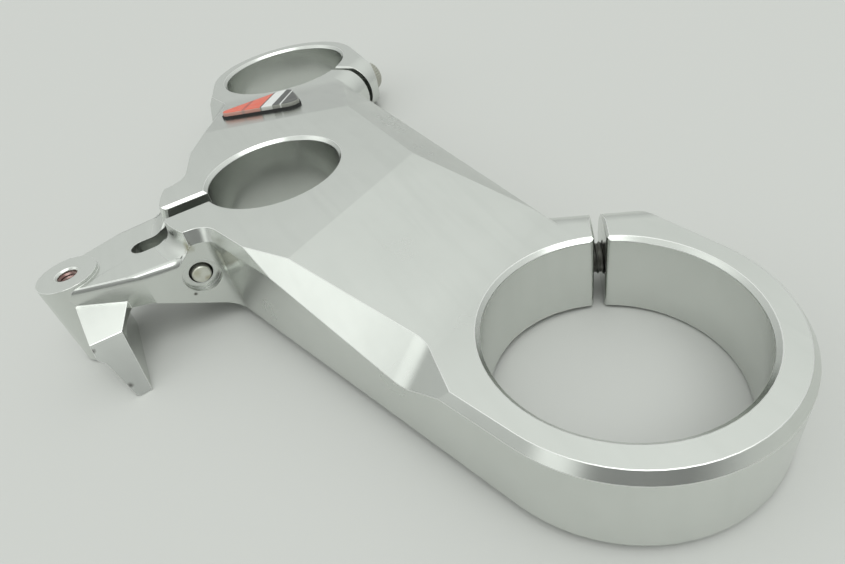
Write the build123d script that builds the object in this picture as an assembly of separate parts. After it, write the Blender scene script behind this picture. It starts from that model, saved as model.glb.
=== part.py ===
from build123d import *
import math
import os

# Upper fork yoke of a motorcycle: one machined aluminium body that clamps two fork tubes and
# the steering stem, with a split arm behind the stem, three pinch screws and a small badge.
# The origin is on the stem axis in the plane of the bottom face. +Z is up, +Y is forwards,
# and all lengths are in millimetres.

os.makedirs("parts", exist_ok=True)

# Fork tubes and their clamp rings
fork_bore = 53.0
fork_spacing = 209.0
fork_offset = 36.0
fork_wall = 7.0
ring_height = 21.0
ring_bevel_width = 1.5
ring_bevel_drop = 2.2
bore_bevel = 1.0
bottom_bevel = 0.4

# Steering stem and the raised middle
stem_bore = 40.0
stem_wall = 9.0
top_height = 27.0
front_edge = 47.8
front_facet_width = 12.6
rear_bevel_width = 1.35
rear_bevel_drop = 3.8

# Sloping flanks between the raised middle and the rings
crease_heading = 26.5
crease_distance = 37.3
flank_length = 41.1
flank_blend = 60.0
rear_facet_corner = 30.8
rear_facet_heading = -59.4
rear_facet_lift = 48.3
rear_facet_length = 38.5
rear_facet_back = 20.0
rear_facet_runout = 12.0
rear_facet_climb = 28.0

# Split lugs of the fork clamps
slit_heading = 144.7
fork_slit = 2.6
fork_slit_bevel = 0.6
slit_corner = 1.5
lug_tip = 8.0
lug_corner = 2.0

# Arm behind the stem, with its threaded boss and its foot
arm_root_half = 17.5
arm_root_y = -20.0
arm_waist_half = 15.0
arm_waist_y = -45.0
arm_top = 20.0
nose_radius = 34.0
nose_lean = 1.2
nose_hollow = 5.0
nose_sweep = 80.0
nose_tip = 2.0
wall_hollow = 6.0
boss_y = -63.0
boss_radius = 8.2
boss_top = 21.0
underside_start = -25.0
underside_height = 10.5
underside_flat = -46.0
underside_hollow = 5.0
foot_bottom = -5.2
foot_front = -55.5
foot_rear = -64.1
foot_shoulder_z = 5.8
foot_notch = 1.7
foot_tip_rear = -59.7
foot_tip_corner = 0.8
foot_tip = 29.5
foot_web_y = -49.9
foot_web_side = 3.2
fold_x = 19.5
fold_z = 9.4
facet_top_z = 16.0
facet_top_x = 6.5

# Slot that splits the stem clamp
stem_slot = 6.2
stem_slot_end = -45.6
stem_slot_bevel = 0.85

# Screws and their holes
fork_screw = 8.0
fork_screw_wall = 2.0
fork_screw_seat = 9.5
fork_screw_depth = 15.0
fork_head = 13.0
fork_head_height = 8.0
fork_key = 6.0
stem_screw = 6.0
stem_screw_y = -31.0
stem_screw_z = 13.2
stem_screw_seat = -10.5
stem_screw_tip = 15.9
stem_head = 10.0
stem_head_height = 6.0
stem_key = 5.0
stem_mouth = 10.3
stem_mouth_seat = 14.6
key_depth_share = 0.5
screw_clearance = 0.25
head_clearance = 0.15
boss_thread = 5.4
thread_bevel = 0.5

# Badge on the left flank
badge_x = -58.5
badge_y = 12.5
badge_turn = -8.8
badge_width = 26.0
badge_length = 29.0
badge_corner = 4.5
badge_tip = 3.5
badge_pad_height = 0.8
badge_face_height = 1.4
badge_face_inset = 0.5
badge_face_round = 0.5

# Overshoot of cutting tools beyond the body
over = 1.0
far = 120.0

fork_radius = fork_bore / 2
ring_radius = fork_radius + fork_wall
stem_radius = stem_bore / 2
collar_radius = stem_radius + stem_wall
fork_centre = Vector(fork_spacing / 2, fork_offset)
fork_hole_radius = fork_screw / 2 + screw_clearance
fork_screw_along = fork_radius + fork_screw_wall + fork_hole_radius
lug_reach = fork_screw_along + ring_height / 2
flank_fall = (top_height - ring_height) / flank_length
flank_foot = crease_distance + flank_length


def heading(degrees):
    """Unit vector in plan at an angle from +X."""
    turn = math.radians(degrees)
    return Vector(math.cos(turn), math.sin(turn))


slit_way = heading(slit_heading)
across_way = heading(slit_heading - 90)
crease_way = heading(crease_heading)


def fork_point(along, across, height=0.0):
    """Point given along and across the slit of the right fork clamp."""
    return fork_centre + slit_way * along + across_way * across + Vector(0, 0, height)


def both_sides(shape):
    """The shape and its mirror image on the left."""
    return shape + mirror(shape, about=Plane.YZ)


def bore_tool(radius, low, high, top, bottom):
    """Round tool along +Z for a bore from low to high with a bevel at each mouth."""
    profile = Polyline(
        (0, low - over),
        (radius + bottom + over, low - over),
        (radius, low + bottom),
        (radius, high - top),
        (radius + top + over, high + over),
        (0, high + over),
        close=True,
    )
    return revolve(make_face(Plane.XZ * profile), Axis.Z)


def slot_profile(width, bevel, low, high):
    """Section of a slot that widens at its upper edge."""
    half = width / 2
    return Polyline(
        (-half, low - over),
        (half, low - over),
        (half, high - bevel),
        (half + bevel + over, high + over),
        (-half - bevel - over, high + over),
        (-half, high - bevel),
        close=True,
    )


def socket_screw(diameter, length, head, head_height, key):
    """Socket head screw along +Z, with its head below and its seat at zero."""
    shank = extrude(Circle(diameter / 2), length)
    shank = chamfer(shank.edges().sort_by(Axis.Z)[-1], diameter / 10)
    cap = Pos(0, 0, -head_height) * extrude(Circle(head / 2), head_height)
    cap = chamfer(cap.edges().sort_by(Axis.Z)[0], head / 20)
    hexagon = RegularPolygon(key / 2, 6, major_radius=False)
    socket = Pos(0, 0, -head_height) * extrude(hexagon, head_height * key_depth_share)
    return shank + cap - socket


# Plan of the raised middle, the webs and the arm
ring_plan = Pos(fork_centre) * Circle(ring_radius)
collar_plan = Circle(collar_radius)
web_plan = make_hull(ring_plan.edges() + collar_plan.edges())
behind_front = Pos(0, front_edge - far) * Rectangle(2 * far, 2 * far)
web_plan = web_plan & behind_front
rise_to_front = front_edge - fork_offset - lug_reach * slit_way.Y
hollow_across = rise_to_front / across_way.Y
front_block = Pos(0, front_edge / 2) * Rectangle(fork_spacing - 2 * ring_radius, front_edge)
arm_face = Polyline(
    (arm_root_half, arm_root_y),
    (arm_waist_half, arm_waist_y),
    (boss_radius, boss_y),
    (-boss_radius, boss_y),
    (-arm_waist_half, arm_waist_y),
    (-arm_root_half, arm_root_y),
    close=True,
)
plan = both_sides(web_plan) + front_block + collar_plan + make_face(arm_face)
wall_normal_turn = math.acos((collar_radius - ring_radius) / fork_centre.length)
wall_heading = math.degrees(math.atan2(fork_offset, fork_spacing / 2) - wall_normal_turn)
wall_normal = heading(wall_heading)
arm_taper = (arm_root_half - arm_waist_half) / (arm_root_y - arm_waist_y)
arm_meets_wall_y = (
    (wall_normal.X * (arm_root_half - arm_taper * arm_root_y) - collar_radius)
    / (-wall_normal.Y - wall_normal.X * arm_taper)
)
arm_meets_wall_x = arm_root_half + arm_taper * (arm_meets_wall_y - arm_root_y)
for side in (1, -1):
    wall_vertex = plan.vertices().sort_by_distance((side * arm_meets_wall_x, arm_meets_wall_y, 0))[0]
    plan = fillet(wall_vertex, wall_hollow)
yoke = extrude(plan, top_height)

# Steep bevel along the rear edge of the raised middle
top_face = yoke.faces().sort_by(Axis.Z)[-1]
rear_edges = [
    top_face.edges().sort_by_distance((side * arm_meets_wall_x, arm_meets_wall_y, top_height))[0]
    for side in (1, -1)
]
yoke = chamfer(rear_edges, rear_bevel_width, rear_bevel_drop, reference=top_face)

# Flanks that fall from the raised middle to the rings
crease_plane = Plane((0, 0, 0), x_dir=crease_way, z_dir=crease_way.rotate(Axis.Z, -90))
flank_line = FilletPolyline(
    (crease_distance, top_height),
    (flank_foot, ring_height),
    (2 * far, ring_height),
    radius=flank_blend,
)
flank_sky = Polyline(
    (2 * far, ring_height),
    (2 * far, top_height + over),
    (crease_distance, top_height + over),
    (crease_distance, top_height),
)
flank_tool = extrude(crease_plane * make_face(flank_line + flank_sky), far, both=True)
yoke -= both_sides(flank_tool)

# Bevelled face along the front edge
front_face = Polyline(
    (front_edge - front_facet_width, top_height),
    (front_edge, ring_height),
    (far, ring_height),
    (far, top_height + over),
    (front_edge - front_facet_width, top_height + over),
    close=True,
)
yoke -= extrude(Plane.YZ * make_face(front_face), far, both=True)

# Facets along the rear edge, each with a hollow run-out at its ring
facet_out = heading(rear_facet_heading) * math.cos(math.radians(rear_facet_lift))
facet_normal = facet_out + Vector(0, 0, math.sin(math.radians(rear_facet_lift)))
flank_normal = crease_way * flank_fall + Vector(0, 0, 1)
facet_way = flank_normal.cross(facet_normal).normalized()
crease_along = crease_way.rotate(Axis.Z, -90)
facet_start = crease_way * crease_distance + crease_along * rear_facet_corner + Vector(0, 0, top_height)
facet_end = facet_start + facet_way * rear_facet_length
facet_plane = Plane(facet_end, x_dir=facet_way, z_dir=facet_way.cross(facet_normal))
facet_back = -rear_facet_length - rear_facet_back
facet_flat = Line((facet_back, 0), (0, 0))
facet_curve = JernArc((0, 0), (1, 0), rear_facet_runout, rear_facet_climb)
climb = math.tan(math.radians(rear_facet_climb))
climb_end = facet_curve @ 1 + Vector(rear_facet_length, rear_facet_length * climb)
facet_sky = Polyline(
    facet_curve @ 1,
    climb_end,
    (climb_end.X, far),
    (facet_back, far),
    (facet_back, 0),
)
facet_tool = extrude(facet_plane * make_face(facet_flat + facet_curve + facet_sky), far / 4, both=True)
yoke -= both_sides(facet_tool)

# Nose round the stem, which drops in a hollow curve to the top of the arm
nose_line = FilletPolyline(
    (nose_radius, top_height),
    (nose_radius + nose_lean, arm_top),
    (far, arm_top),
    radius=nose_hollow,
)
nose_sky = Polyline(
    (far, arm_top),
    (far, top_height + over),
    (nose_radius, top_height + over),
    (nose_radius, top_height),
)
nose_tool = revolve(Plane.XZ * make_face(nose_line + nose_sky), Axis.Z, nose_sweep)
yoke -= Rot(0, 0, -90 - nose_sweep / 2) * nose_tool

# Fork clamp rings, each with a split lug whose nose is round about its screw
lug_corner_plan = Pos(fork_point(lug_reach - lug_corner, lug_tip - lug_corner)) * Circle(lug_corner)
outer_plan = make_hull(ring_plan.edges() + lug_corner_plan.edges())
inner_plan = Polyline(
    fork_point(0, lug_tip - lug_corner),
    fork_point(lug_reach, lug_tip - lug_corner),
    fork_point(lug_reach, hollow_across),
    fork_point(0, hollow_across),
    close=True,
)
clamp = extrude(outer_plan + make_face(inner_plan), ring_height)
lug_plane = Plane(fork_centre, x_dir=slit_way, z_dir=across_way)
nose_block = Pos(fork_screw_along + lug_reach / 2, ring_height / 2) * Rectangle(lug_reach, 2 * ring_height)
nose_round = Pos(fork_screw_along, ring_height / 2) * Circle(ring_height / 2)
clamp -= extrude(lug_plane * (nose_block - nose_round), far / 2, both=True)
yoke += both_sides(clamp)

# Foot beside the boss, with its sloping web
foot_plan = Polyline(
    (0, foot_rear),
    (foot_tip, foot_rear),
    (foot_tip, foot_front),
    (fold_x, foot_front),
    (facet_top_x + foot_web_side, foot_web_y),
    (0, foot_web_y),
    close=True,
)
foot = Pos(0, 0, foot_bottom) * extrude(make_face(foot_plan), facet_top_z - foot_bottom)
foot_side = Polyline(
    (foot_rear, facet_top_z),
    (foot_rear, foot_shoulder_z),
    (foot_rear + foot_notch, foot_shoulder_z - foot_notch),
    (foot_tip_rear, foot_bottom + foot_tip_corner),
    (foot_tip_rear + foot_tip_corner, foot_bottom),
    (foot_web_y, foot_bottom),
    (foot_web_y, facet_top_z),
    close=True,
)
foot = foot & extrude(Plane.YZ * make_face(foot_side), foot_tip)
foot_fall = (fold_z - foot_bottom) / (foot_tip - fold_x)
foot_sky = Polyline(
    (facet_top_x, facet_top_z),
    (fold_x, fold_z),
    (foot_tip + over, foot_bottom - foot_fall * over),
    (far, foot_bottom - foot_fall * over),
    (far, far),
    (facet_top_x, far),
    close=True,
)
foot -= extrude(Plane.XZ * make_face(foot_sky), far, both=True)
boss = Pos(0, boss_y, foot_bottom) * extrude(Circle(boss_radius), boss_top - foot_bottom)
yoke = yoke + foot + boss

# Underside of the arm, which rises from the bottom face and curves down to the foot
underside_line = FilletPolyline(
    (underside_start, 0),
    (underside_flat, underside_height),
    (foot_front, underside_height),
    (foot_front, foot_bottom - over),
    radius=underside_hollow,
)
underside_close = Polyline(
    (foot_front, foot_bottom - over),
    (underside_start, foot_bottom - over),
    (underside_start, 0),
)
yoke -= extrude(Plane.YZ * make_face(underside_line + underside_close), far, both=True)

# Bores, slits and the slot in the arm
fork_tool = Pos(fork_centre) * bore_tool(fork_radius, 0, ring_height, bore_bevel, bottom_bevel)
slit_plane = Plane(fork_centre, x_dir=across_way * -1, z_dir=slit_way)
slit_section = slot_profile(fork_slit, fork_slit_bevel, 0, ring_height)
slit_tool = extrude(slit_plane * make_face(slit_section), lug_reach + over)
mouth_corners = Polyline(
    fork_point(0, fork_slit / 2),
    fork_point(lug_reach, fork_slit / 2),
    fork_point(lug_reach, -fork_slit / 2),
    fork_point(0, -fork_slit / 2),
    close=True,
)
mouth_plan = Pos(fork_centre) * Circle(fork_radius) + make_face(mouth_corners)
mouth_vertices = mouth_plan.vertices().sort_by_distance(fork_point(fork_radius, 0))[:2]
mouth_plan = fillet(mouth_vertices, slit_corner)
mouth_tool = Pos(0, 0, -over) * extrude(mouth_plan, ring_height + 2 * over)
yoke -= both_sides(fork_tool + slit_tool + mouth_tool)
yoke -= bore_tool(stem_radius, 0, top_height, bore_bevel, 0)
slot_round_y = stem_slot_end + stem_slot / 2
slot_plan = Pos(0, slot_round_y / 2) * Rectangle(stem_slot, -slot_round_y)
slot_plan = slot_plan + Pos(0, slot_round_y) * Circle(stem_slot / 2)
yoke -= Pos(0, 0, -over) * extrude(slot_plan, top_height + 2 * over)
tip_edges = [
    yoke.edges().sort_by_distance((side * stem_slot / 2, -nose_radius, top_height - over))[0]
    for side in (1, -1)
]
yoke = fillet(tip_edges, nose_tip)
slot_bevel = slot_profile(stem_slot, stem_slot_bevel, arm_top + over, top_height)
yoke -= extrude(Plane.XZ * make_face(slot_bevel), nose_radius + nose_lean + over)

# Outer bevel of each ring, which runs on along the rear wall and the front of the lug
bevel_slope = ring_bevel_drop / ring_bevel_width
bevel_section = Polyline(
    (ring_radius - ring_bevel_width - over / bevel_slope, ring_height + over),
    (ring_radius + over, ring_height - ring_bevel_drop - over * bevel_slope),
    (ring_radius + over, ring_height + over),
    close=True,
)
corner_way = fork_point(lug_reach - lug_corner, lug_tip - lug_corner) - fork_centre
front_turn = math.acos((ring_radius - lug_corner) / corner_way.length)
front_heading = math.degrees(math.atan2(corner_way.Y, corner_way.X) - front_turn)
round_bevel = revolve(make_face(Plane.XZ * bevel_section), Axis.Z, front_heading - wall_heading)
round_bevel = Rot(0, 0, wall_heading) * round_bevel
wall_bevel_plane = Plane((0, 0, 0), x_dir=wall_normal, z_dir=wall_normal.cross(Vector(0, 0, 1)))
front_normal = heading(front_heading)
front_bevel_plane = Plane((0, 0, 0), x_dir=front_normal, z_dir=front_normal.cross(Vector(0, 0, 1)))
wall_bevel = extrude(wall_bevel_plane * make_face(bevel_section), ring_radius)
front_bevel = extrude(front_bevel_plane * make_face(bevel_section), -lug_reach)
yoke -= both_sides(Pos(fork_centre) * (round_bevel + wall_bevel + front_bevel))

# Fork clamp screws, with their holes
fork_screw_z = ring_height / 2
fork_seat = fork_point(fork_screw_along, fork_screw_seat, fork_screw_z)
fork_screw_plane = Plane(fork_seat, x_dir=slit_way, z_dir=across_way * -1)
fork_screw_length = fork_screw_seat + fork_screw_depth
fork_hole = extrude(Circle(fork_hole_radius), fork_screw_length + over)
fork_head_room = Pos(0, 0, -far / 4) * extrude(Circle(fork_head / 2 + head_clearance), far / 4)
yoke -= both_sides(fork_screw_plane * (fork_hole + fork_head_room))
fork_screw_solid = fork_screw_plane * socket_screw(
    fork_screw, fork_screw_length, fork_head, fork_head_height, fork_key
)
fork_screws = Compound([fork_screw_solid, mirror(fork_screw_solid, about=Plane.YZ)])

# Stem clamp screw, with its hole and the mouth round its end
stem_screw_plane = Plane((stem_screw_seat, stem_screw_y, stem_screw_z), x_dir=(0, 1, 0), z_dir=(1, 0, 0))
stem_screw_length = stem_screw_tip - stem_screw_seat
stem_hole = extrude(Circle(stem_screw / 2 + screw_clearance), far / 2)
stem_head_room = Pos(0, 0, -far / 4) * extrude(Circle(stem_head / 2 + head_clearance), far / 4)
stem_mouth_room = Pos(0, 0, stem_mouth_seat - stem_screw_seat) * extrude(Circle(stem_mouth / 2), far / 2)
yoke -= stem_screw_plane * (stem_hole + stem_head_room + stem_mouth_room)
stem_screw_solid = stem_screw_plane * socket_screw(
    stem_screw, stem_screw_length, stem_head, stem_head_height, stem_key
)

# Threaded hole in the boss
boss_hole = bore_tool(boss_thread / 2, foot_bottom, boss_top, thread_bevel, thread_bevel)
yoke -= Pos(0, boss_y, 0) * boss_hole

# Badge on the left flank: a dark pad with a rounded face plate on it
left_crease_way = Vector(-crease_way.X, crease_way.Y)
badge_along = left_crease_way.X * badge_x + left_crease_way.Y * badge_y
badge_z = top_height - (badge_along - crease_distance) * flank_fall
badge_normal = left_crease_way * flank_fall + Vector(0, 0, 1)
badge_side = heading(badge_turn).cross(badge_normal).cross(badge_normal) * -1
badge_plane = Plane((badge_x, badge_y, badge_z), x_dir=badge_side, z_dir=badge_normal)


def badge_outline(inset):
    """Rounded triangle of the badge, smaller by the inset all round."""
    top_y = badge_length / 2 - badge_corner
    top_x = badge_width / 2 - badge_corner
    tip_y = badge_tip - badge_length / 2
    rounds = Pos(top_x, top_y) * Circle(badge_corner - inset)
    rounds += Pos(-top_x, top_y) * Circle(badge_corner - inset)
    rounds += Pos(0, tip_y) * Circle(badge_tip - inset)
    return make_hull(rounds.edges())


badge_pad = badge_plane * extrude(badge_outline(0), badge_pad_height)
badge_face = Pos(0, 0, badge_pad_height) * extrude(badge_outline(badge_face_inset), badge_face_height)
badge_face = fillet(badge_face.faces().sort_by(Axis.Z)[-1].edges(), badge_face_round)
badge_face = badge_plane * badge_face

export_step(yoke, "parts/yoke.step")
export_step(fork_screws, "parts/fork_clamp_screws.step")
export_step(stem_screw_solid, "parts/stem_clamp_screw.step")
export_step(badge_pad, "parts/badge_pad.step")
export_step(badge_face, "parts/badge_face.step")
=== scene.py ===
import math

import bpy
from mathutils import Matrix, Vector


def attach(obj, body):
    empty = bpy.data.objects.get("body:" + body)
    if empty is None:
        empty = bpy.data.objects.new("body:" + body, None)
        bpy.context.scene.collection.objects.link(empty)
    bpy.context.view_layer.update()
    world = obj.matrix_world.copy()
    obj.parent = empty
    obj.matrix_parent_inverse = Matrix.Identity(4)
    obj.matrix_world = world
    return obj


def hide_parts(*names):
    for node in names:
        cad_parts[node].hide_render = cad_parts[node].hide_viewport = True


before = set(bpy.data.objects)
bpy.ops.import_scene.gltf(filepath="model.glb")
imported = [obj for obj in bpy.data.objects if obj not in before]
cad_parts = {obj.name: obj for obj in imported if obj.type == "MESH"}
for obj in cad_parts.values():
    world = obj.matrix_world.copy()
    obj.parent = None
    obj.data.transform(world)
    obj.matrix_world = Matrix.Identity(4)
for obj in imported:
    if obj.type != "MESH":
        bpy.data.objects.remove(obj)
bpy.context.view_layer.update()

# Yoke body: one aluminium forging, milled, bead blasted and clear anodised, with brighter broken edges.
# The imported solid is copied, the rim of the arm's slot is made sharp, the arm's top edges are rounded
# and a fine bevel breaks every other edge.

# Lengths are in metres here and below.
edge_break = 0.00011
edge_break_steps = 2
edge_break_angle = math.radians(26)
arm_edge_round = 0.0021
arm_edge_steps = 4
arm_edge_least = 0.12
arm_edge_loss = 1.6
arm_start_y = -0.030
arm_top_z = 0.020
arm_root = (0.0175, -0.020)
arm_waist = (0.0150, -0.045)
boss_axis = (0.0, -0.063)
boss_radius = 0.0082
nose_edge_z = 0.0232
near = 0.00002
touching = near / 10
flat_angle = math.radians(0.5)
crease_angle = math.radians(5)
smooth_angle = math.radians(35)
slot_half = 0.0031
slot_round_y = -0.0425
rim_round = 0.0020
rim_band = 1.25 * rim_round
rim_clear = 0.0003
hollow_reach = 0.03941
hollow_height = 0.025
hollow_radius = 0.0050
hollow_band = 1.15 * rim_round
hollow_facing = 0.9
level_facing = 0.9999
rim_sharp_up_to = math.radians(35)
rim_round_from = math.radians(85)


def select_only(piece):
    bpy.ops.object.select_all(action="DESELECT")
    piece.select_set(True)
    bpy.context.view_layer.objects.active = piece


def sharp_rim(point):
    """Point of the slot's rounded rim, lifted to a sharp rim up to where the rim climbs the nose."""
    past_round = min(point.y - slot_round_y, 0.0)
    beside = math.hypot(point.x, past_round)
    offset = beside - slot_half
    if point.y > 0 or not -near < offset < rim_band:
        return point
    # Points beside the wall move outwards a little, which leaves room for the fine bevel at the rim.
    spread = 1.0
    if offset >= touching:
        spread = 1 + rim_clear * max(0.0, 1 - offset / rim_round) / beside
    reach = math.hypot(point.x, point.y)
    if reach > hollow_reach:
        on_rim = arm_top_z - rim_round - near < point.z < arm_top_z
        rim = Vector((point.x * spread, point.y + past_round * (spread - 1), arm_top_z))
        return rim if on_rim else point
    # Below the nose the arm's top is a hollow that is turned about the stem.
    back = hollow_reach - reach
    drop = hollow_height - point.z
    span = math.hypot(back, drop)
    turn = math.atan2(back, drop)
    if not hollow_radius < span < hollow_radius + hollow_band or turn > rim_round_from:
        return point
    share = min(1.0, (rim_round_from - turn) / (rim_round_from - rim_sharp_up_to))
    scale = (span + share * (hollow_radius - span)) / span
    reach = hollow_reach - back * scale
    across = point.x * (1 + share * (spread - 1))
    return Vector((across, -math.sqrt(reach ** 2 - across ** 2), hollow_height - drop * scale))


def joined_copy(node, name, reshape):
    """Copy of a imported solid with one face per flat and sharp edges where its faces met."""
    select_only(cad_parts[node])
    bpy.ops.object.duplicate()
    piece = bpy.context.view_layer.objects.active
    piece.name = name
    piece.parent = None
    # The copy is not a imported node, so it loses the tags of one.
    for tag in list(piece.keys()):
        del piece[tag]
    for vertex in piece.data.vertices:
        vertex.co = reshape(vertex.co.copy())
    bpy.ops.object.mode_set(mode="EDIT")
    bpy.ops.mesh.customdata_custom_splitnormals_clear()
    bpy.ops.mesh.select_mode(type="EDGE")
    bpy.ops.mesh.select_all(action="DESELECT")
    bpy.ops.mesh.select_non_manifold(
        use_wire=False, use_multi_face=False, use_non_contiguous=False, use_verts=False
    )
    bpy.ops.mesh.mark_sharp()
    bpy.ops.mesh.select_all(action="SELECT")
    bpy.ops.mesh.remove_doubles(threshold=touching)
    bpy.ops.mesh.dissolve_limited(angle_limit=flat_angle)
    bpy.ops.mesh.select_all(action="DESELECT")
    bpy.ops.mesh.edges_select_sharp(sharpness=crease_angle)
    bpy.ops.mesh.select_all(action="INVERT")
    bpy.ops.mesh.mark_sharp(clear=True)
    bpy.ops.object.mode_set(mode="OBJECT")
    return piece


def arm_half(y):
    """Half the width of the arm at a place along it."""
    if y > arm_waist[1]:
        wide = arm_root
        narrow = arm_waist
    else:
        wide = arm_waist
        narrow = (boss_radius, boss_axis[1])
    share = (y - narrow[1]) / (wide[1] - narrow[1])
    return narrow[0] + share * (wide[0] - narrow[0])


def arm_edge_weight(first, second):
    """Full weight on the arm's top edges, falling off where they climb to the nose."""
    for point in (first, second):
        if not arm_top_z - near < point.z < nose_edge_z + near or point.y > arm_start_y:
            return 0.0
        if abs(abs(point.x) - arm_half(point.y)) > near:
            return 0.0
    if first.x * second.x < 0:
        return 0.0
    climb = (max(first.z, second.z) - arm_top_z) / (nose_edge_z - arm_top_z)
    return max(arm_edge_least, 1.0 - arm_edge_loss * climb)


def round_edges(piece, weight, width, steps):
    """Rounds the edges to which the weight function gives more than nothing."""
    mesh = piece.data
    share = mesh.attributes.new("bevel_weight_edge", "FLOAT", "EDGE")
    for edge in mesh.edges:
        first, second = (mesh.vertices[index].co for index in edge.vertices)
        share.data[edge.index].value = weight(first, second)
    bevel = piece.modifiers.new("rounding", "BEVEL")
    bevel.limit_method = "WEIGHT"
    bevel.width = width
    bevel.segments = steps
    bevel.use_clamp_overlap = False
    select_only(piece)
    bpy.ops.object.modifier_apply(modifier=bevel.name)


def break_edges(piece, width, slot):
    """Breaks each edge with a fine bevel in the metal of a slot, and keeps the flats flat."""
    bevel = piece.modifiers.new("edge_break", "BEVEL")
    bevel.limit_method = "ANGLE"
    bevel.angle_limit = edge_break_angle
    bevel.width = width
    bevel.segments = edge_break_steps
    bevel.material = slot
    bevel.use_clamp_overlap = False
    flats = piece.modifiers.new("flats", "WEIGHTED_NORMAL")
    flats.keep_sharp = True
    select_only(piece)
    bpy.ops.object.modifier_apply(modifier=bevel.name)
    bpy.ops.object.shade_smooth_by_angle(angle=smooth_angle)
    bpy.ops.object.modifier_apply(modifier=flats.name)


def smooth_hollow(piece, slot):
    """Gives the hollow below the nose the metal of a slot, and it and the level flats true normals."""
    mesh = piece.data
    normals = [corner.vector.copy() for corner in mesh.corner_normals]
    for face in mesh.polygons:
        places = [mesh.vertices[index].co for index in face.vertices]
        inward = []
        for place in places:
            reach = math.hypot(place.x, place.y)
            centre = Vector((place.x, place.y, 0)) * (hollow_reach / reach) + Vector((0, 0, hollow_height))
            inward.append(centre - place)
        on_hollow = all(abs(way.length - hollow_radius) < near for way in inward)
        along = all(way.dot(face.normal) > hollow_facing * way.length for way in inward)
        if on_hollow and along and max(place.y for place in places) < 0:
            face.material_index = slot
            for corner, way in zip(face.loop_indices, inward):
                normals[corner] = way.normalized()
        elif face.normal.z > level_facing:
            for corner in face.loop_indices:
                normals[corner] = Vector((0, 0, 1))
    mesh.normals_split_custom_set(normals)


def add_node(tree, kind, label, operation=None, **values):
    """New node with its label, its operation and the values of its sockets."""
    node = tree.nodes.new(kind)
    node.name = label
    if operation:
        node.operation = operation
    for name, value in values.items():
        node.inputs[name.replace("_", " ")].default_value = value
    return node


def new_group(name, inputs, outputs):
    """New node group, with its two ends and the place on the piece."""
    tree = bpy.data.node_groups.new(name, "ShaderNodeTree")
    for label, kind, value in inputs:
        socket = tree.interface.new_socket(label, in_out="INPUT", socket_type=kind)
        socket.default_value = value
    for label, kind in outputs:
        tree.interface.new_socket(label, in_out="OUTPUT", socket_type=kind)
    entry = tree.nodes.new("NodeGroupInput")
    leave = tree.nodes.new("NodeGroupOutput")
    place = tree.nodes.new("ShaderNodeTexCoord").outputs["Object"]
    return tree, entry, leave, place


def new_material(name):
    material = bpy.data.materials.new(name)
    material.use_nodes = True
    tree = material.node_tree
    return material, tree, tree.nodes["Principled BSDF"]


def place_group(tree, group, **values):
    node = tree.nodes.new("ShaderNodeGroup")
    node.node_tree = group
    for name, value in values.items():
        node.inputs[name].default_value = value
    return node


def mix_colours(tree, mask, under, over):
    """Colour that goes from under to over where the mask is white."""
    blend = tree.nodes.new("ShaderNodeMix")
    blend.data_type = "RGBA"
    tree.links.new(mask, blend.inputs["Factor"])
    for label, colour in (("A", under), ("B", over)):
        if isinstance(colour, tuple):
            blend.inputs[label].default_value = (*colour, 1)
        else:
            tree.links.new(colour, blend.inputs[label])
    return blend.outputs["Result"]


def add_bump(tree, height, strength, distance, under=None):
    """Normal that a height makes uneven, over another normal if there is one."""
    uneven = add_node(tree, "ShaderNodeBump", "uneven", Strength=strength, Distance=distance)
    tree.links.new(height, uneven.inputs["Height"])
    if under is not None:
        tree.links.new(under, uneven.inputs["Normal"])
    return uneven.outputs["Normal"]


# Soft cloudy patches and fine pits.
grain, entry, leave, place = new_group(
    "surface_grain",
    [("Patches", "NodeSocketFloat", 38.0), ("Pits", "NodeSocketFloat", 900.0)],
    [("Cloud", "NodeSocketFloat"), ("Height", "NodeSocketFloat")],
)
cloud = add_node(grain, "ShaderNodeTexNoise", "cloud", Detail=4.0, Roughness=0.6)
pits = add_node(grain, "ShaderNodeTexNoise", "pits", Detail=3.0, Roughness=0.7)
grain.links.new(place, cloud.inputs["Vector"])
grain.links.new(place, pits.inputs["Vector"])
grain.links.new(entry.outputs["Patches"], cloud.inputs["Scale"])
grain.links.new(entry.outputs["Pits"], pits.inputs["Scale"])
grain.links.new(cloud.outputs["Fac"], leave.inputs["Cloud"])
grain.links.new(pits.outputs["Fac"], leave.inputs["Height"])

# Fine lines: a noise that is close along one direction and drawn out along the others.
milling, entry, leave, place = new_group(
    "milling_marks",
    [("Spacing", "NodeSocketVector", (20.0, 20.0, 2600.0))],
    [("Marks", "NodeSocketFloat")],
)
stretch = add_node(milling, "ShaderNodeVectorMath", "stretch", "MULTIPLY")
marks = add_node(milling, "ShaderNodeTexNoise", "marks", Scale=1.0, Detail=2.0, Roughness=0.6)
milling.links.new(place, stretch.inputs[0])
milling.links.new(entry.outputs["Spacing"], stretch.inputs[1])
milling.links.new(stretch.outputs["Vector"], marks.inputs["Vector"])
milling.links.new(marks.outputs["Fac"], leave.inputs["Marks"])

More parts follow.
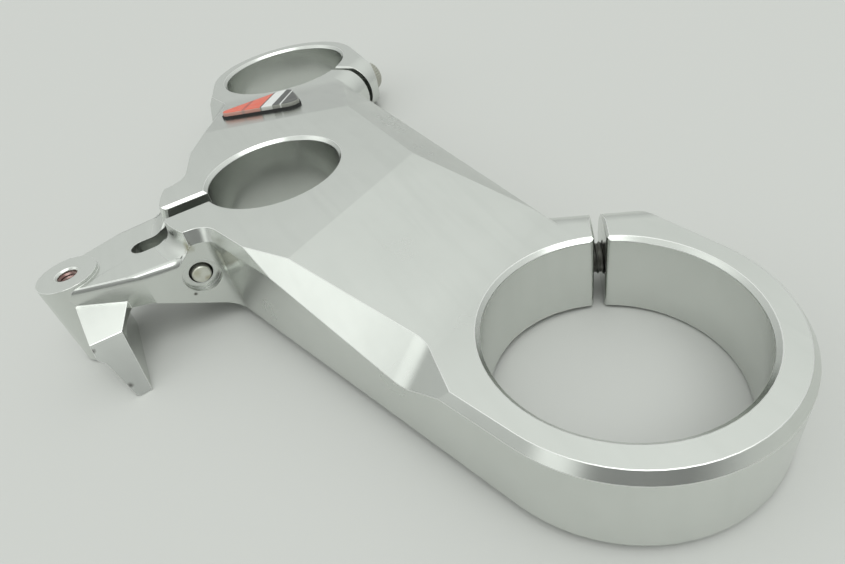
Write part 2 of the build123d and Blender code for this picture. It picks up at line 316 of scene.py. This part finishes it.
# A spot of dirt, also used as painted shade, with a ragged fringe around a point.
fringe_share = 1.1
grime_and_shade, entry, leave, place = new_group(
    "grime_and_shade_spot",
    [("Centre", "NodeSocketVector", (0.0, 0.0, 0.0)), ("Reach", "NodeSocketFloat", 0.003)],
    [("Mask", "NodeSocketFloat")],
)
span = add_node(grime_and_shade, "ShaderNodeVectorMath", "span", "DISTANCE")
ragged = add_node(grime_and_shade, "ShaderNodeTexNoise", "ragged", Scale=480.0, Detail=2.0, Roughness=0.6)
share = add_node(grime_and_shade, "ShaderNodeMath", "share", "DIVIDE")
fringe = add_node(grime_and_shade, "ShaderNodeMath", "fringe", "MULTIPLY_ADD")
fringe.inputs[1].default_value = fringe_share
fade = add_node(grime_and_shade, "ShaderNodeMapRange", "fade", From_Min=1.45, From_Max=0.60)
grime_and_shade.links.new(place, span.inputs[0])
grime_and_shade.links.new(entry.outputs["Centre"], span.inputs[1])
grime_and_shade.links.new(span.outputs["Value"], share.inputs[0])
grime_and_shade.links.new(entry.outputs["Reach"], share.inputs[1])
grime_and_shade.links.new(place, ragged.inputs["Vector"])
grime_and_shade.links.new(ragged.outputs["Fac"], fringe.inputs[0])
grime_and_shade.links.new(share.outputs["Value"], fringe.inputs[2])
grime_and_shade.links.new(fringe.outputs["Value"], fade.inputs["Value"])
grime_and_shade.links.new(fade.outputs["Result"], leave.inputs["Mask"])

# Small dark specks that come in patches.
specks, entry, leave, place = new_group(
    "dark_specks",
    [("Spread", "NodeSocketFloat", 160.0), ("Size", "NodeSocketFloat", 0.06)],
    [("Mask", "NodeSocketFloat")],
)
dots = add_node(specks, "ShaderNodeTexVoronoi", "dots")
patchy = add_node(specks, "ShaderNodeTexNoise", "patchy", Scale=60.0, Detail=2.0)
shrink = add_node(specks, "ShaderNodeMapRange", "shrink", From_Min=0.66, From_Max=0.74)
limit = add_node(specks, "ShaderNodeMath", "limit", "MULTIPLY")
hit = add_node(specks, "ShaderNodeMath", "hit", "LESS_THAN")
specks.links.new(place, dots.inputs["Vector"])
specks.links.new(entry.outputs["Spread"], dots.inputs["Scale"])
specks.links.new(place, patchy.inputs["Vector"])
specks.links.new(patchy.outputs["Fac"], shrink.inputs["Value"])
specks.links.new(shrink.outputs["Result"], limit.inputs[0])
specks.links.new(entry.outputs["Size"], limit.inputs[1])
specks.links.new(dots.outputs["Distance"], hit.inputs[0])
specks.links.new(limit.outputs["Value"], hit.inputs[1])
specks.links.new(hit.outputs["Value"], leave.inputs["Mask"])

speck_colour = (0.10, 0.10, 0.10)
streak_spacing = (28.0, 330.0, 60.0)
streak_share = 0.45
metal_relief = 0.00006


def faint(tree, value, share):
    """Upper part of a noise, stretched and limited to a share."""
    reach = add_node(tree, "ShaderNodeMapRange", "faint", From_Min=0.45, From_Max=0.75, To_Max=share)
    tree.links.new(value, reach.inputs["Value"])
    return reach.outputs["Result"]


def metal(name, pale, dark, smooth, rough, pit_depth, mark_depth, patches=38.0, spots=()):
    """Metal that goes from pale to dark in soft patches, with pits, fine lines, specks, dirt and painted
    shade.
    """
    material, tree, shader = new_material(name)
    shader.inputs["Metallic"].default_value = 1.0
    surface = place_group(tree, grain, Patches=patches)
    lines = place_group(tree, milling)
    streaks = place_group(tree, milling, Spacing=streak_spacing)
    colour = mix_colours(tree, surface.outputs["Cloud"], pale, dark)
    colour = mix_colours(tree, faint(tree, streaks.outputs["Marks"], streak_share), colour, dark)
    colour = mix_colours(tree, place_group(tree, specks).outputs["Mask"], colour, speck_colour)
    for centre, reach, spot_tint in spots:
        spot = place_group(tree, grime_and_shade, Centre=centre, Reach=reach)
        colour = mix_colours(tree, spot.outputs["Mask"], colour, spot_tint)
    tree.links.new(colour, shader.inputs["Base Color"])
    dull = add_node(
        tree, "ShaderNodeMapRange", "dull", From_Min=0.3, From_Max=0.7, To_Min=smooth, To_Max=rough
    )
    tree.links.new(surface.outputs["Cloud"], dull.inputs["Value"])
    tree.links.new(dull.outputs["Result"], shader.inputs["Roughness"])
    pitted = add_bump(tree, surface.outputs["Height"], pit_depth, metal_relief)
    lined = add_bump(tree, lines.outputs["Marks"], mark_depth, metal_relief, pitted)
    tree.links.new(lined, shader.inputs["Normal"])
    return material


satin_pale = (0.75, 0.77, 0.74)
satin_dark = (0.66, 0.68, 0.65)
satin_pits = 0.012
satin_marks = 0.08
old_grease = (0.36, 0.35, 0.24)
dark_nick = (0.09, 0.08, 0.07)
# Painted shade: a darker grey that stands for the shade in the recess of the stem screw's mouth.
mouth_shade = (0.24, 0.24, 0.22)
# Centre, reach and colour of each spot.
yoke_spots = (
    ((0.0163, -0.0314, 0.0231), 0.0026, old_grease),
    ((0.0160, -0.0349, 0.0083), 0.0007, dark_nick),
    ((0.0274, -0.0597, -0.0021), 0.0011, dark_nick),
    ((0.0206, -0.0641, 0.0080), 0.0012, dark_nick),
    # A darker spot inside the stem screw's mouth, below and beside its end: painted shade in the recess.
    ((0.0148, -0.0270, 0.0099), 0.0017, mouth_shade),
)
satin = metal(
    "satin_aluminium", satin_pale, satin_dark, smooth=0.18, rough=0.28,
    pit_depth=satin_pits, mark_depth=satin_marks, spots=yoke_spots,
)
soft = metal(
    "soft_satin_aluminium", satin_pale, satin_dark, smooth=0.30, rough=0.38,
    pit_depth=satin_pits, mark_depth=satin_marks, spots=yoke_spots,
)
bright = metal(
    "bright_cut_aluminium", pale=(0.84, 0.85, 0.83), dark=(0.78, 0.79, 0.77), smooth=0.28, rough=0.36,
    pit_depth=0.02, mark_depth=0.10,
)
yoke_metals = (satin, bright, soft)

yoke = joined_copy("yoke", "yoke_body", sharp_rim)
yoke.data.materials.clear()
for surface in yoke_metals:
    yoke.data.materials.append(surface)
round_edges(yoke, arm_edge_weight, arm_edge_round, arm_edge_steps)
break_edges(yoke, edge_break, yoke_metals.index(bright))
smooth_hollow(yoke, yoke_metals.index(soft))
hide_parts("yoke")
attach(yoke, "root")

# Thread in the boss: a coarse internal thread cut in the aluminium, with red thread locker left
# in its grooves. A three-cornered ring is wound up the hole, so that its turns touch at the wall.
boss_pitch = 0.0010
boss_thread_root = 0.00275
boss_thread_crest = 0.00230
boss_thread_start = -0.0041
boss_thread_turns = 24
turn_steps = 24


def thread_ridge(name, root, crest, pitch, turns):
    """Closed ridge wound about Z, whose first crest starts at zero."""
    bpy.ops.object.select_all(action="DESELECT")
    bpy.ops.mesh.primitive_circle_add(vertices=3, fill_type="NOTHING")
    ridge = bpy.context.view_layer.objects.active
    ridge.name = name
    corners = ((root, 0, -pitch / 2), (crest, 0, 0), (root, 0, pitch / 2))
    for vertex, corner in zip(ridge.data.vertices, corners):
        vertex.co = corner
    winding = ridge.modifiers.new("winding", "SCREW")
    winding.axis = "Z"
    winding.screw_offset = pitch
    winding.iterations = turns
    winding.steps = turn_steps
    winding.render_steps = turn_steps
    winding.use_smooth_shade = False
    bpy.ops.object.modifier_apply(modifier=winding.name)
    bpy.ops.object.mode_set(mode="EDIT")
    bpy.ops.mesh.select_all(action="SELECT")
    bpy.ops.mesh.fill_holes(sides=3)
    bpy.ops.mesh.select_all(action="SELECT")
    bpy.ops.mesh.normals_make_consistent(inside=False)
    bpy.ops.object.mode_set(mode="OBJECT")
    bpy.ops.object.shade_smooth_by_angle(angle=smooth_angle)
    return ridge


boss_thread = thread_ridge(
    "boss_thread", boss_thread_root, boss_thread_crest, boss_pitch, boss_thread_turns
)
boss_thread.location = (*boss_axis, boss_thread_start)
bpy.ops.object.transform_apply(location=True, rotation=False, scale=False)
locked = metal(
    "thread_with_locker", pale=(0.16, 0.022, 0.020), dark=(0.34, 0.30, 0.28), smooth=0.25, rough=0.45,
    pit_depth=0.10, mark_depth=0.0, patches=420.0,
)
boss_thread.data.materials.append(locked)
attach(boss_thread, "root")

# Fork clamp screws: two socket head screws of oiled steel with dark threads, turned, knurled and rolled,
# that cross the slits of the fork clamps. One is modelled, turned into place and mirrored to the other side.
fork_seat = Vector((0.08326, 0.06268, 0.0105))
fork_way = Vector((-0.5779, -0.8161, 0.0)).normalized()
flute_sides = 4
flute_scale = 0.972
bevels_across = 20
top_facing = -0.9
core_sides = 48
# Depths below the thread's crest, turns without thread and the gap at the tip are counted in pitches.
core_depth = 0.42
groove_depth = 0.56
plain_turns = 2
tip_gap = 0.8
screw_smooth_angle = math.radians(30)
screw_corner_angle = math.radians(60)


def socket_screw(name, shank, length, pitch, head, head_height, key, flutes):
    """Head, core and thread of a screw along Z, with the head's seat at zero and the tip upwards."""
    bpy.ops.object.select_all(action="DESELECT")
    bevel = head / bevels_across
    side = head_height - bevel
    sides = flute_sides * flutes
    bpy.ops.mesh.primitive_cylinder_add(
        vertices=sides, radius=head / 2, depth=side, location=(0, 0, -side / 2)
    )
    cap = bpy.context.view_layer.objects.active
    cap.name = name
    bpy.ops.object.transform_apply(location=True, rotation=False, scale=False)
    step = math.tau / sides
    # Every second pair of corners is drawn in, which makes the grooves of the knurl.
    for vertex in cap.data.vertices:
        place_round = round(math.atan2(vertex.co.y, vertex.co.x) / step)
        if place_round // 2 % 2:
            vertex.co.x *= flute_scale
            vertex.co.y *= flute_scale
    bpy.ops.object.mode_set(mode="EDIT")
    bpy.ops.mesh.select_all(action="DESELECT")
    bpy.ops.object.mode_set(mode="OBJECT")
    for face in cap.data.polygons:
        face.select = face.normal.z < top_facing
    bpy.ops.object.mode_set(mode="EDIT")
    bpy.ops.mesh.select_mode(type="FACE")
    bpy.ops.mesh.extrude_region_move(TRANSFORM_OT_translate={"value": (0, 0, -bevel)})
    shrink_by = 1 - 2 * bevel / head
    bpy.ops.transform.resize(value=(shrink_by, shrink_by, 1), center_override=(0, 0, -head_height))
    bpy.ops.object.mode_set(mode="OBJECT")
    bpy.ops.object.select_all(action="DESELECT")
    bpy.ops.mesh.primitive_cylinder_add(
        vertices=6, radius=key / math.sqrt(3), depth=head_height, location=(0, 0, -head_height)
    )
    cutter = bpy.context.view_layer.objects.active
    socket = cap.modifiers.new("socket", "BOOLEAN")
    socket.object = cutter
    select_only(cap)
    bpy.ops.object.modifier_apply(modifier=socket.name)
    bpy.data.objects.remove(cutter)
    bpy.ops.object.shade_smooth_by_angle(angle=screw_smooth_angle)
    bpy.ops.object.select_all(action="DESELECT")
    bpy.ops.mesh.primitive_cylinder_add(
        vertices=core_sides, radius=shank / 2 - core_depth * pitch, depth=length, location=(0, 0, length / 2)
    )
    core = bpy.context.view_layer.objects.active
    point = core.modifiers.new("point", "BEVEL")
    point.limit_method = "ANGLE"
    point.angle_limit = screw_corner_angle
    point.width = shank / bevels_across
    point.segments = 1
    bpy.ops.object.modifier_apply(modifier=point.name)
    bpy.ops.object.shade_smooth_by_angle(angle=screw_smooth_angle)
    turns = int(length / pitch) - plain_turns
    ridge = thread_ridge(name + "_thread", shank / 2 - groove_depth * pitch, shank / 2, pitch, turns)
    ridge.location.z = length - (turns + tip_gap) * pitch
    return cap, core, ridge


def place_screw(pieces, seat, way, metals):
    """Gives a screw's head, core and thread their metals, joins them and turns them into place."""
    for piece, surface in zip(pieces, metals):
        piece.data.materials.append(surface)
    cap, core, ridge = pieces
    select_only(cap)
    core.select_set(True)
    ridge.select_set(True)
    bpy.ops.object.transform_apply(location=True, rotation=True, scale=True)
    bpy.ops.object.join()
    cap.rotation_mode = "QUATERNION"
    cap.rotation_quaternion = way.to_track_quat("Z", "Y")
    cap.location = seat
    bpy.ops.object.transform_apply(location=True, rotation=True, scale=True)
    return cap


head_steel = metal(
    "oiled_head_steel", pale=(0.60, 0.60, 0.54), dark=(0.38, 0.38, 0.33), smooth=0.30, rough=0.45,
    pit_depth=0.15, mark_depth=0.0, patches=180.0,
)
worn_thread = metal(
    "worn_thread_steel", pale=(0.46, 0.46, 0.44), dark=(0.14, 0.14, 0.13), smooth=0.28, rough=0.42,
    pit_depth=0.10, mark_depth=0.0, patches=260.0,
)
dark_steel = metal(
    "dark_thread_steel", pale=(0.12, 0.12, 0.11), dark=(0.06, 0.06, 0.05), smooth=0.35, rough=0.50,
    pit_depth=0.10, mark_depth=0.0, patches=260.0,
)
fork_pieces = socket_screw(
    "fork_screws", shank=0.008, length=0.0245, pitch=0.00125,
    head=0.013, head_height=0.008, key=0.006, flutes=36,
)
fork_screws = place_screw(fork_pieces, fork_seat, fork_way, (head_steel, dark_steel, worn_thread))
bpy.ops.object.duplicate()
left_screw = bpy.context.view_layer.objects.active
left_screw.scale.x = -1
bpy.ops.object.transform_apply(location=False, rotation=False, scale=True)
bpy.ops.object.mode_set(mode="EDIT")
bpy.ops.mesh.select_all(action="SELECT")
bpy.ops.mesh.normals_make_consistent(inside=False)
bpy.ops.object.mode_set(mode="OBJECT")
fork_screws.select_set(True)
bpy.context.view_layer.objects.active = fork_screws
bpy.ops.object.join()
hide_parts("fork_clamp_screws")
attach(fork_screws, "root")

# Stem clamp screw: a smaller zinc plated screw that closes the slot behind the stem. Its end shows
# in a round mouth, pale with old plating and dirt.
stem_seat = Vector((-0.0105, -0.0310, 0.0132))
stem_way = Vector((1, 0, 0))
dull_plating = (0.62, 0.61, 0.48)
brown_dirt = (0.50, 0.46, 0.34)
stem_spots = (
    ((0.0159, -0.0322, 0.0142), 0.0018, dull_plating),
    ((0.0159, -0.0299, 0.0116), 0.0014, brown_dirt),
)
zinc = metal(
    "soiled_zinc_plate", pale=(0.86, 0.87, 0.81), dark=(0.68, 0.68, 0.60), smooth=0.45, rough=0.65,
    pit_depth=0.25, mark_depth=0.0, patches=420.0, spots=stem_spots,
)
stem_pieces = socket_screw(
    "stem_screw", shank=0.006, length=0.0264, pitch=0.0010,
    head=0.010, head_height=0.006, key=0.005, flutes=30,
)
stem_screw = place_screw(stem_pieces, stem_seat, stem_way, (head_steel, zinc, dark_steel))
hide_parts("stem_clamp_screw")
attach(stem_screw, "root")

# Badge pad: a black foam pad, cut a little larger than the badge and stuck to the left flank.
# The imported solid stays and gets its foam.
foam_dark = (0.012, 0.012, 0.012)
foam_pale = (0.030, 0.030, 0.030)
foam, tree, shader = new_material("black_foam")
shader.inputs["Roughness"].default_value = 0.9
cells = place_group(tree, grain, Patches=900.0, Pits=3000.0)
foam_colour = mix_colours(tree, cells.outputs["Cloud"], foam_dark, foam_pale)
tree.links.new(foam_colour, shader.inputs["Base Color"])
rough_foam = add_bump(tree, cells.outputs["Height"], strength=0.4, distance=0.0001)
tree.links.new(rough_foam, shader.inputs["Normal"])
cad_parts["badge_pad"].material_slots[0].material = foam

# Badge face: a moulded plastic plate under clear resin, stuck on the pad. Plain slanted fields of
# orange red, white and dark grey are printed on it, and its rounded rim is silver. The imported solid
# stays and gets its printing.
badge_centre = (-0.0585, 0.0125, 0.0)
badge_turn = math.radians(-8.8)
slant = 0.38
field_reach = 0.016
orange_red = (0.72, 0.085, 0.030, 1)
deep_red = (0.40, 0.030, 0.015, 1)
silver_white = (0.74, 0.75, 0.74, 1)
dark_grey = (0.022, 0.025, 0.025, 1)
faded_print = (0.55, 0.53, 0.50)
silver_rim = (0.42, 0.42, 0.38)
# Where each field starts across the badge, and its colour.
fields = (
    (0.0, orange_red),
    (0.335, deep_red),
    (0.375, orange_red),
    (0.575, dark_grey),
    (0.595, silver_white),
    (0.735, dark_grey),
    (0.835, silver_white),
    (0.855, dark_grey),
)
resin, tree, shader = new_material("badge_resin")
shader.inputs["Roughness"].default_value = 0.35
shader.inputs["Specular IOR Level"].default_value = 0.20
shader.inputs["Coat Weight"].default_value = 0.15
shader.inputs["Coat Roughness"].default_value = 0.06
on_piece = tree.nodes.new("ShaderNodeTexCoord")
local = tree.nodes.new("ShaderNodeMapping")
local.vector_type = "TEXTURE"
local.inputs["Location"].default_value = badge_centre
local.inputs["Rotation"].default_value = (0, 0, badge_turn)
across = add_node(tree, "ShaderNodeVectorMath", "across", "DOT_PRODUCT")
across.inputs[1].default_value = (slant, 1, 0)
place_on = add_node(tree, "ShaderNodeMapRange", "place_on", From_Min=-field_reach, From_Max=field_reach)
print_fields = tree.nodes.new("ShaderNodeValToRGB")
print_fields.color_ramp.interpolation = "CONSTANT"
stops = print_fields.color_ramp.elements
while len(stops) < len(fields):
    stops.new(1.0)
for stop, (position, colour) in zip(stops, fields):
    stop.position = position
    stop.color = colour
facing = tree.nodes.new("ShaderNodeNewGeometry")
upward = tree.nodes.new("ShaderNodeSeparateXYZ")
rim_mask = add_node(tree, "ShaderNodeMapRange", "rim_mask", From_Min=0.93, From_Max=0.86, To_Max=0.6)
wear = place_group(tree, grain, Patches=300.0, Pits=2500.0)
faded = add_node(tree, "ShaderNodeMapRange", "faded", From_Min=0.35, From_Max=0.75, To_Max=0.16)
tree.links.new(on_piece.outputs["Object"], local.inputs["Vector"])
tree.links.new(local.outputs["Vector"], across.inputs[0])
tree.links.new(across.outputs["Value"], place_on.inputs["Value"])
tree.links.new(place_on.outputs["Result"], print_fields.inputs["Fac"])
tree.links.new(facing.outputs["Normal"], upward.inputs["Vector"])
tree.links.new(upward.outputs["Z"], rim_mask.inputs["Value"])
tree.links.new(wear.outputs["Cloud"], faded.inputs["Value"])
colour = mix_colours(tree, faded.outputs["Result"], print_fields.outputs["Color"], faded_print)
colour = mix_colours(tree, rim_mask.outputs["Result"], colour, silver_rim)
tree.links.new(colour, shader.inputs["Base Color"])
orange_peel = add_bump(tree, wear.outputs["Height"], strength=0.05, distance=0.0001)
tree.links.new(orange_peel, shader.inputs["Normal"])
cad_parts["badge_face"].material_slots[0].material = resin

# Floor: a plain pale table top, on which the foot and the fronts of the rings rest. It is tilted
# by the angle at which the yoke stands.
table_tilt = math.radians(2.38)
table_low = Vector((0, -0.0555, -0.0052))
table_size = 8
table_colour = (0.555, 0.56, 0.545, 1)
bpy.ops.object.select_all(action="DESELECT")
bpy.ops.mesh.primitive_plane_add(size=table_size, location=table_low, rotation=(table_tilt, 0, 0))
table = bpy.context.view_layer.objects.active
table.name = "table_top"
painted, tree, shader = new_material("pale_table_paint")
shader.inputs["Base Color"].default_value = table_colour
shader.inputs["Roughness"].default_value = 0.55
table.data.materials.append(painted)

# Light: soft daylight in a pale room, brighter overhead, with two windows beyond the arm, a pale
# ceiling light above the right fork clamp and a dimmer side beyond that clamp.
daylight = (0.97, 1.0, 0.97, 1)
low_sky = 0.54
high_sky = 1.00
backdrop_level = 0.62
# Direction of each glow, the angles from it at which the glow starts and is full, and its strength.
glows = (
    ("window", (-0.36, -0.82, 0.45), 27, 9, 0.50),
    ("side_window", (0.30, -0.93, 0.22), 17, 7, 0.72),
    ("ceiling_light", (0.42, -0.02, 0.91), 29, 13, 2.3),
    ("dim_side", (0.82, -0.46, 0.32), 52, 18, -0.33),
)
world = bpy.data.worlds.new("daylight_room")
bpy.context.scene.world = world
world.use_nodes = True
sky = world.node_tree
look = sky.nodes.new("ShaderNodeTexCoord").outputs["Generated"]
height = sky.nodes.new("ShaderNodeSeparateXYZ")
rise = add_node(
    sky, "ShaderNodeMapRange", "rise", From_Min=0.1, From_Max=0.95, To_Min=low_sky, To_Max=high_sky
)
sky.links.new(look, height.inputs["Vector"])
sky.links.new(height.outputs["Z"], rise.inputs["Value"])
level = rise.outputs["Result"]
for label, way, outer, inner, strength in glows:
    facing = add_node(sky, "ShaderNodeVectorMath", label + "_facing", "DOT_PRODUCT")
    facing.inputs[1].default_value = Vector(way).normalized()
    glow = add_node(sky, "ShaderNodeMapRange", label + "_glow", To_Max=strength)
    glow.interpolation_type = "SMOOTHSTEP"
    glow.inputs["From Min"].default_value = math.cos(math.radians(outer))
    glow.inputs["From Max"].default_value = math.cos(math.radians(inner))
    total = add_node(sky, "ShaderNodeMath", label + "_total", "ADD")
    sky.links.new(look, facing.inputs[0])
    sky.links.new(facing.outputs["Value"], glow.inputs["Value"])
    sky.links.new(level, total.inputs[0])
    sky.links.new(glow.outputs["Result"], total.inputs[1])
    level = total.outputs["Value"]
seen = sky.nodes.new("ShaderNodeLightPath").outputs["Is Camera Ray"]
backdrop = sky.nodes.new("ShaderNodeMix")
backdrop.inputs["B"].default_value = backdrop_level
sky.links.new(seen, backdrop.inputs["Factor"])
sky.links.new(level, backdrop.inputs["A"])
sky.nodes["Background"].inputs["Color"].default_value = daylight
sky.links.new(backdrop.outputs["Result"], sky.nodes["Background"].inputs["Strength"])

# Camera: a wide lens held close above the right fork clamp, looking across the yoke to the arm and
# the left fork clamp.
lens = bpy.data.cameras.new("camera")
lens.sensor_width = 36
lens.lens = 24.93
lens.clip_start = 0.01
camera = bpy.data.objects.new("camera", lens)
bpy.context.scene.collection.objects.link(camera)
camera.location = (0.16413, -0.02366, 0.10388)
camera.rotation_euler = (math.radians(50.074), math.radians(10.015), math.radians(61.013))
bpy.context.scene.camera = camera

bpy.context.scene.view_settings.view_transform = "Standard"
